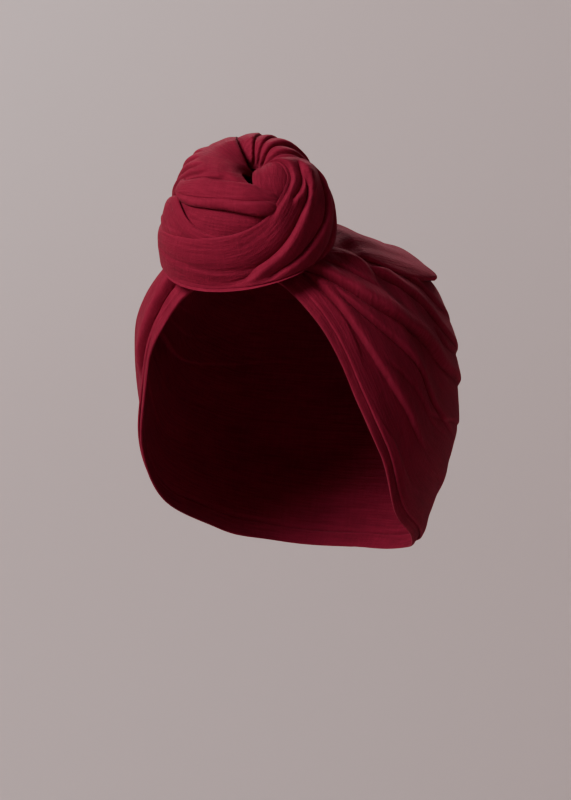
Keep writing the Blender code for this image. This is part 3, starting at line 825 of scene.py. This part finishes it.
def make_wind(wind):
    """One wind of the knot as a sheet."""
    last = len(wind.rows) - 1
    share = np.linspace(0, 1, wind.columns)
    row = smooth(wind.rows, share)
    across = np.linspace(0, 1, BREADTH_STEPS)
    core = on_knot(
        row[:, :1] + (row[:, 2:3] - row[:, :1]) * across,
        row[:, 1:2] + (row[:, 3:4] - row[:, 1:2]) * across,
        np.zeros((wind.columns, len(across))),
    )
    breadth = np.linalg.norm(np.diff(core, axis=1), axis=-1).sum(1)
    station = share * last
    place = crowd_rows(wind.folds, station, breadth, wind.across, fade=WIND_FADE, edges=WIND_EDGES)
    station, breadth = station[:, None], breadth[:, None]
    height, push = fold_over(
        wind.folds, station, place, breadth, WIND_FADE, WIND_FOLD_DEPTH, WIND_FOLD_SPREAD
    )
    height = height - height.mean(axis=1, keepdims=True)
    near, far = row[:, None, 0:2], row[:, None, 2:4]
    swell, near_lift, far_lift = (row[:, i : i + 1] for i in (4, 5, 6))
    dome = (1 - np.abs(2 * place - 1) ** wind.roundness) ** (1 / wind.roundness)
    along = station * STATION_LENGTH
    slack = WIND_SLACK * ripple(along, place * breadth, *WIND_WAVES, wind.seed)
    seat = WIND_SWELL * (near_lift + (far_lift - near_lift) * place)
    lift = seat + np.maximum(swell * WIND_SWELL - seat, WIND_WALL) * dome
    lift = lift + (height * np.minimum(1, breadth / WIND_FULL_BREADTH) + slack) * dome
    lift = np.maximum(lift, seat + WIND_LEAST)
    moved = np.clip(place + push * dome / breadth, 0, 1)
    outer = on_knot(*np.moveaxis(near + (far - near) * moved[..., None], -1, 0), lift)
    under = np.maximum(np.minimum(seat, lift - WIND_LEAST), lift - WIND_LEAST - WIND_WALL * dome)
    inner = on_knot(*np.moveaxis(near + (far - near) * place[..., None], -1, 0), under)
    flat = np.stack([along + 0 * place, place * breadth + wind.seed * FLAT_APART], -1)
    return make_sheet(wind.node + "_cloth", outer, inner, flat)


wind_cloths = {wind.node: make_wind(wind) for wind in WINDS}

# %% [markdown]
# ## The packed inside
#
# Under the winds the knot is a tight wad of cloth. Little of it shows: the hollow's wall, and a line
# between two winds. It is one closed form, so it is made as a ball whose rings are moved to the knot's
# outline, with a twist of gathers that runs into the hollow.

# %% Make the packed inside
CORE_SIDES = 144
CORE_RINGS = 96
CORE_PLEATS = 17
CORE_PLEAT_DEPTH = 1.1 * MM
CORE_TWIST = 70.0
CORE_PLEAT_FULL = 0.25
SOLE_FROM = 0.72


def make_core():
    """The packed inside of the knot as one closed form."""
    bpy.ops.mesh.primitive_uv_sphere_add(segments=CORE_SIDES, ring_count=CORE_RINGS, radius=1)
    piece = bpy.context.object
    piece.name = piece.data.name = "packed_cloth"
    start = np.empty(len(piece.data.vertices) * 3)
    piece.data.vertices.foreach_get("co", start)
    x, y, z = start.reshape(-1, 3).T
    turn = np.degrees(np.arctan2(y, x))
    down = np.arccos(np.clip(z, -1, 1)) / math.pi
    reach = np.clip(down / SOLE_FROM, 0, 1)
    pleat = np.abs(np.cos(np.radians((turn + CORE_TWIST * reach) * CORE_PLEATS / 2)))
    shell = on_knot(turn, reach, -CORE_PLEAT_DEPTH * (1 - pleat) * ramp(reach, 0, CORE_PLEAT_FULL))
    around = np.arange(0.0, 360, 10)
    foot = on_knot(around, np.ones_like(around), np.zeros_like(around)).mean(axis=0)
    inward = np.clip((down - SOLE_FROM) / (1 - SOLE_FROM), 0, 1)[:, None]
    places = clear_of_head(shell + (foot - shell) * inward, np.zeros(len(shell)))
    shape_piece(piece, np.where(inward > 0, places, shell))
    return piece


packed_cloth = make_core()

# %% [markdown]
# ## The weave
#
# The cloth is a light viscose with slubs: short thick stretches of yarn that show as fine streaks. The
# effect is a node group, because every stretch of cloth uses it with its own values. It reads the flat
# cloth in metres, so a thread is as thick on the knot as on the nape. An image of cloth would be quicker
# to shade, but it would repeat, and it would blur when the camera comes close.

# %% The weave as a node group
THREADS = 900.0
SLUB_LONG, SLUB_SHORT = 70.0, 900.0
CROSS_LONG, CROSS_SHORT = 112.0, 720.0
DYE_LONG, DYE_SHORT = 26.0, 60.0
CROSS_SHARE, FINE_SHARE, DYE_SHARE = 0.45, 0.5, 0.7


def new_socket(group, name, kind, way, value=None):
    """A named input or output of a node group."""
    socket = group.interface.new_socket(name=name, in_out=way, socket_type="NodeSocket" + kind)
    if value is not None:
        socket.default_value = value
    return socket


def set_inputs(node, values):
    """Gives a node's named inputs their values."""
    for name, value in values.items():
        node.inputs[name].default_value = value


def math_node(nodes, links, operation, one, two, three=None):
    """A Math node between sockets or numbers."""
    node = nodes.new("ShaderNodeMath")
    node.operation = operation
    for slot, given in enumerate((one, two, three)):
        if given is None:
            continue
        if isinstance(given, (int, float)):
            node.inputs[slot].default_value = given
        else:
            links.new(given, node.inputs[slot])
    return node.outputs[0]


def noise_node(nodes, links, vector, scale, detail):
    """A noise over a vector, with its own scale on each axis."""
    stretch = nodes.new("ShaderNodeVectorMath")
    stretch.operation = "MULTIPLY"
    stretch.inputs[1].default_value = scale
    links.new(vector, stretch.inputs[0])
    noise = nodes.new("ShaderNodeTexNoise")
    set_inputs(noise, {"Scale": 1.0, "Detail": detail})
    links.new(stretch.outputs[0], noise.inputs["Vector"])
    return noise.outputs["Fac"]


def weave_group():
    """Slubs, threads and a soft unevenness of the dye, from a place on the flat cloth."""
    group = bpy.data.node_groups.new("slub_weave", "ShaderNodeTree")
    new_socket(group, "Flat Cloth", "Vector", "INPUT")
    new_socket(group, "Slub", "Float", "INPUT", 1.0)
    new_socket(group, "Height", "Float", "OUTPUT")
    new_socket(group, "Tone", "Float", "OUTPUT")
    nodes, links = group.nodes, group.links
    start, end = nodes.new("NodeGroupInput"), nodes.new("NodeGroupOutput")
    flat = start.outputs["Flat Cloth"]
    slub = noise_node(nodes, links, flat, (SLUB_LONG, SLUB_SHORT, 1), 3.0)
    cross = noise_node(nodes, links, flat, (CROSS_SHORT, CROSS_LONG, 1), 2.0)
    fine = noise_node(nodes, links, flat, (THREADS * 2, THREADS * 2, 1), 1.0)
    dye = noise_node(nodes, links, flat, (DYE_LONG, DYE_SHORT, 1), 3.0)
    streaks = math_node(nodes, links, "MULTIPLY_ADD", cross, CROSS_SHARE, slub)
    streaks = math_node(nodes, links, "MULTIPLY", streaks, start.outputs["Slub"])
    height = math_node(nodes, links, "MULTIPLY_ADD", fine, FINE_SHARE, streaks)
    links.new(height, end.inputs["Height"])
    tone = math_node(nodes, links, "MULTIPLY_ADD", dye, DYE_SHARE, streaks)
    links.new(tone, end.inputs["Tone"])
    return group


slub_weave = weave_group()
print("weave outputs:", [item.name for item in slub_weave.interface.items_tree])

# %% [markdown]
# ## Painted light and shade along the folds
#
# Where cloth is creased hard, its colour is painted lighter on the ridge as a highlight, and darker deep in
# the fold as painted shade. Blender can measure this itself: Geometry's Pointiness is high on a ridge and
# low in a groove. That is a reading of the mesh's own form, so it stays put in every view.

# %% The painted light and shade of the folds as a node group
RIDGE_FROM, RIDGE_TO = 0.50, 0.56


def painted_fold_light_group():
    """A mask for painted shade and highlights: 0 in grooves, a half on plain cloth and 1 on ridges."""
    group = bpy.data.node_groups.new("painted_fold_light", "ShaderNodeTree")
    new_socket(group, "Ridge", "Float", "OUTPUT")
    nodes, links = group.nodes, group.links
    end = nodes.new("NodeGroupOutput")
    form = nodes.new("ShaderNodeNewGeometry")
    spread = nodes.new("ShaderNodeMapRange")
    set_inputs(spread, {"From Min": 2 * RIDGE_FROM - RIDGE_TO, "From Max": RIDGE_TO})
    links.new(form.outputs["Pointiness"], spread.inputs["Value"])
    links.new(spread.outputs["Result"], end.inputs["Ridge"])
    return group


painted_fold_light = painted_fold_light_group()
print("wear outputs:", [item.name for item in painted_fold_light.interface.items_tree])

# %% [markdown]
# ## The cloth's material
#
# The dye is a deep crimson. A Principled shader with a high roughness gives the matt body, and its sheen
# gives the pale bloom that short fibres have where the cloth turns away. The weave drives a small bump and
# a small change of tone, and the fold mask paints shade (a darker red) into grooves and a highlight (a
# lighter red) onto ridges.

# %% Make the cloth material
# The darkest red is both the dye's darker patches and painted shade in the grooves; the lightest red is
# both its lighter patches and a painted highlight on the ridges.
DEEP_RED = (0.075, 0.004, 0.012, 1)
CLOTH_RED = (0.210, 0.0125, 0.034, 1)
PALE_TONE_AND_HIGHLIGHT_RED = (0.30, 0.024, 0.058, 1)
CLOTH_ROUGHNESS = 0.86
SHEEN, SHEEN_ROUGHNESS = 0.10, 0.45
SHEEN_RED = (0.9, 0.20, 0.28, 1)
BUMP_HEIGHT = 0.5 * MM
GLOSS = 0.06
TONE_GAIN, TONE_SHIFT = 0.50, -0.36
# How much painted highlight goes onto ridges and painted shade into grooves.
RIDGE_GAIN = 0.5
ROUGH_GAIN, ROUGH_SHIFT = 0.08, -0.06


def cloth_material(name, slub):
    """The crimson cloth, with its slubs as strong as slub says."""
    material = bpy.data.materials.new(name)
    material.use_nodes = True
    nodes, links = material.node_tree.nodes, material.node_tree.links
    shader = nodes["Principled BSDF"]
    set_inputs(shader, {"Specular IOR Level": GLOSS, "Sheen Weight": SHEEN})
    set_inputs(shader, {"Sheen Roughness": SHEEN_ROUGHNESS, "Sheen Tint": SHEEN_RED})
    flat = nodes.new("ShaderNodeUVMap")
    weave = nodes.new("ShaderNodeGroup")
    weave.node_tree = slub_weave
    set_inputs(weave, {"Slub": slub})
    links.new(flat.outputs["UV"], weave.inputs["Flat Cloth"])
    fold_light = nodes.new("ShaderNodeGroup")
    fold_light.node_tree = painted_fold_light
    tone = math_node(nodes, links, "MULTIPLY_ADD", weave.outputs["Tone"], TONE_GAIN, TONE_SHIFT)
    # Painted light: the fold mask lightens the ridges and darkens the grooves in the colour.
    tone = math_node(nodes, links, "MULTIPLY_ADD", fold_light.outputs["Ridge"], RIDGE_GAIN, tone)
    shades = nodes.new("ShaderNodeValToRGB")
    shades.color_ramp.elements[0].color = DEEP_RED
    shades.color_ramp.elements[1].color = PALE_TONE_AND_HIGHLIGHT_RED
    middle = shades.color_ramp.elements.new(0.5)
    middle.color = CLOTH_RED
    links.new(tone, shades.inputs["Fac"])
    links.new(shades.outputs["Color"], shader.inputs["Base Color"])
    bump = nodes.new("ShaderNodeBump")
    set_inputs(bump, {"Distance": BUMP_HEIGHT})
    links.new(weave.outputs["Height"], bump.inputs["Height"])
    links.new(bump.outputs["Normal"], shader.inputs["Normal"])
    least = CLOTH_ROUGHNESS + ROUGH_SHIFT
    rough = math_node(nodes, links, "MULTIPLY_ADD", weave.outputs["Tone"], ROUGH_GAIN, least)
    links.new(rough, shader.inputs["Roughness"])
    return material


crimson_cloth = cloth_material("crimson_cloth", 1.0)
print("material:", crimson_cloth.name)

# %% [markdown]
# ## Put each piece on the frame
#
# Every piece rides on the frame's one body, stands in for its plain solid, which is hidden, and takes the
# crimson cloth material. Each sheet is also listed with the flat size that its stretch of the long cloth
# was before it was laid.

# %% Ride, and stand in for the plain solids
Stretch = namedtuple("Stretch", "piece node width length held rests_on")
WindFlat = namedtuple("WindFlat", "node width length held")
WIND_FLATS = (
    WindFlat("outer_wind", 0.040, 0.17, "gathered"),
    WindFlat("middle_wind", 0.024, 0.055, "gathered"),
    WindFlat("side_fold", 0.032, 0.042, "folded"),
    WindFlat("inner_wind", 0.022, 0.055, "gathered"),
    WindFlat("crest_wind", 0.062, 0.074, "gathered"),
    WindFlat("rear_wind", 0.065, 0.074, "gathered"),
    WindFlat("tucked_end", 0.022, 0.030, "folded"),
)
STRETCHES = [
    Stretch(wrap_cloth, "head_wrap", 0.094, 0.66, "draped", ["hem_cloth", "crown_cloth"]),
    Stretch(hem_cloth, "front_hem", 0.010, 0.66, "folded", ["head_wrap"]),
    Stretch(crown_cloth, "crown_fold", 0.125, 0.130, "draped", ["wrap_cloth"]),
]
STRETCHES += [Stretch(wind_cloths[flat.node], *flat, ["packed_cloth"]) for flat in WIND_FLATS]
for stretch in STRETCHES:
    piece = stretch.piece
    piece.data.materials.append(crimson_cloth)
    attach(piece, "root")
    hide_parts(stretch.node)
packed_cloth.data.materials.append(crimson_cloth)
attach(packed_cloth, "root")
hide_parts("knot_core")
print("pieces:", len(STRETCHES) + 1)

# %% [markdown]
# ## The studio
#
# A pale floor curves up into a wall all round, so no line crosses the picture from any side. The wrap is
# lit by one large soft lamp at the upper left, by weaker ones behind and at the right, and by a dim pale
# room. A fourth lamp faces away from the wrap and lights only the wall. Small lamps would cut hard shadows
# into the folds, where a soft one lets them fade.

# %% Make the floor and the wall
FLOOR_LEVEL = -1.20
FLOOR_RUN, FLOOR_BEND, WALL_TOP = 1.9, 0.8, 2.4
STAGE_STEPS = 72
FLOOR_COLOUR = (0.66, 0.560, 0.555, 1)
FLOOR_ROUGHNESS, FLOOR_GLOSS = 0.95, 0.1


def make_stage():
    """The floor and the wall round it as one smooth bowl."""
    bpy.ops.mesh.primitive_grid_add(x_subdivisions=STAGE_STEPS, y_subdivisions=STAGE_STEPS, size=2)
    stage = bpy.context.object
    stage.name = "studio_bowl"
    quarter = FLOOR_BEND * math.pi / 2
    total = FLOOR_RUN + quarter + WALL_TOP
    for vertex in stage.data.vertices:
        x, y = on_disc(vertex.co.x, vertex.co.y)
        share, turn = math.hypot(x, y), math.atan2(x, y)
        at = share * total
        bent = min(max((at - FLOOR_RUN) / quarter, 0), 1) * math.pi / 2
        out = min(at, FLOOR_RUN) + FLOOR_BEND * math.sin(bent)
        rise = FLOOR_LEVEL + FLOOR_BEND * (1 - math.cos(bent)) + max(at - FLOOR_RUN - quarter, 0)
        vertex.co = (out * math.sin(turn), out * math.cos(turn), rise)
    stage.data.shade_smooth()
    material = bpy.data.materials.new("pale_studio")
    material.use_nodes = True
    shader = material.node_tree.nodes["Principled BSDF"]
    set_inputs(shader, {"Base Color": FLOOR_COLOUR, "Roughness": FLOOR_ROUGHNESS})
    set_inputs(shader, {"Specular IOR Level": FLOOR_GLOSS})
    stage.data.materials.append(material)
    return stage


make_stage()
print("floor level in mm:", FLOOR_LEVEL / MM)

# %% Place the camera
VIEW_TURN, VIEW_RISE = math.radians(27), math.radians(4)
VIEW_DISTANCE = 1.7
AIM = np.array([0, 0, -0.060])
SHIFT_LEFT, SHIFT_DOWN = 6 * MM, 32 * MM
LENS, SENSOR = 147.6, 36
level, rise = math.cos(VIEW_RISE), math.sin(VIEW_RISE)
view_back = np.array([math.sin(VIEW_TURN) * level, -math.cos(VIEW_TURN) * level, rise])
view_right = np.array([math.cos(VIEW_TURN), math.sin(VIEW_TURN), 0])
view_up = np.cross(view_back, view_right)
bpy.ops.object.camera_add()
camera = bpy.context.object
camera.name = "camera"
camera.data.lens = LENS
camera.data.sensor_width = SENSOR
camera.location = AIM + view_back * VIEW_DISTANCE - view_right * SHIFT_LEFT - view_up * SHIFT_DOWN
camera.rotation_euler = (math.pi / 2 - VIEW_RISE, 0, VIEW_TURN)
bpy.context.scene.camera = camera
print("camera at", [round(value, 3) for value in camera.location])

# %% Place the lights
Lamp = namedtuple("Lamp", "name right back up size power spread colour")
LAMPS = (
    Lamp("key", -1.05, 1.10, 0.85, 0.8, 13.2, 110, (1.0, 0.97, 0.96)),
    Lamp("fill", 1.5, 1.2, 0.5, 1.6, 0.8, 180, (0.96, 0.97, 1.0)),
    Lamp("back", 0.0, -1.3, 1.2, 0.8, 6.5, 90, (1.0, 0.97, 0.96)),
    Lamp("wall", -1.45, -0.8, 1.1, 1.2, 42.0, 150, (1.0, 0.96, 0.95)),
)
WALL_LAMP_AIM = -view_back * 2 + view_right * 0.3 - view_up * 0.2
ROOM_COLOUR, ROOM_LIGHT = (0.9, 0.88, 0.88, 1), 0.06
for lamp in LAMPS:
    place = AIM + view_right * lamp.right + view_back * lamp.back + view_up * lamp.up
    bpy.ops.object.light_add(type="AREA", location=place)
    light = bpy.context.object
    light.name = lamp.name
    light.data.shape = "DISK"
    light.data.size = lamp.size
    light.data.energy = lamp.power
    light.data.spread = math.radians(lamp.spread)
    light.data.color = lamp.colour
    aim = WALL_LAMP_AIM if lamp.name == "wall" else AIM - place
    across = math.atan2(aim[0], -aim[1])
    rise = math.atan2(aim[2], math.hypot(aim[0], aim[1]))
    light.rotation_euler = (math.pi / 2 + rise, 0, math.pi + across)
world = bpy.data.worlds.new("room")
world.use_nodes = True
set_inputs(world.node_tree.nodes["Background"], {"Color": ROOM_COLOUR, "Strength": ROOM_LIGHT})
bpy.context.scene.world = world
print("lamps:", [lamp.name for lamp in LAMPS])
